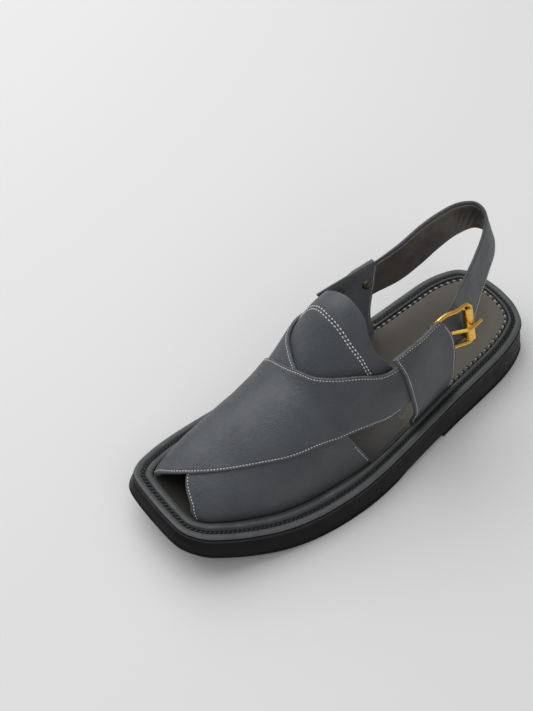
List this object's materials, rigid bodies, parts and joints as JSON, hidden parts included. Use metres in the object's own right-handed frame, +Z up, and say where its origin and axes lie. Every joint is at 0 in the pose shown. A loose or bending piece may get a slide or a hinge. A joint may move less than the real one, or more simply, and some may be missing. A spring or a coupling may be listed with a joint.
{
  "type": "peshawari chappal",
  "caption": "Left leather sandal with crossed forefoot bands, square open toe, domed tongue, buckled heel strap and a flat welted rubber sole.",
  "frame": {"origin": "on the floor, under the middle of the whole shoe's box", "axes": "+Z up, +Y towards the heel, -Y towards the toe, +X towards the outer side of the left foot"},
  "size_m": [0.1182, 0.3083, 0.119],
  "materials": {
    "black_rubber": "matt moulded side wall",
    "welt_leather": "smooth wrapped leather",
    "footbed_leather": "smooth lining leather",
    "grey_leather": "fine grain, soft sheen",
    "brass": "polished"
  },
  "bodies": {
    "root": {"outsole": "black_rubber", "welt": "welt_leather", "insole": "footbed_leather", "upper": "grey_leather", "tongue": "grey_leather", "quarter_lateral": "grey_leather", "quarter_medial": "grey_leather", "heel_strap": "grey_leather", "buckle_frame": "brass", "buckle_roller": "brass", "buckle_prong": "brass", "rivet": "brass"}
  },
  "joints": []
}
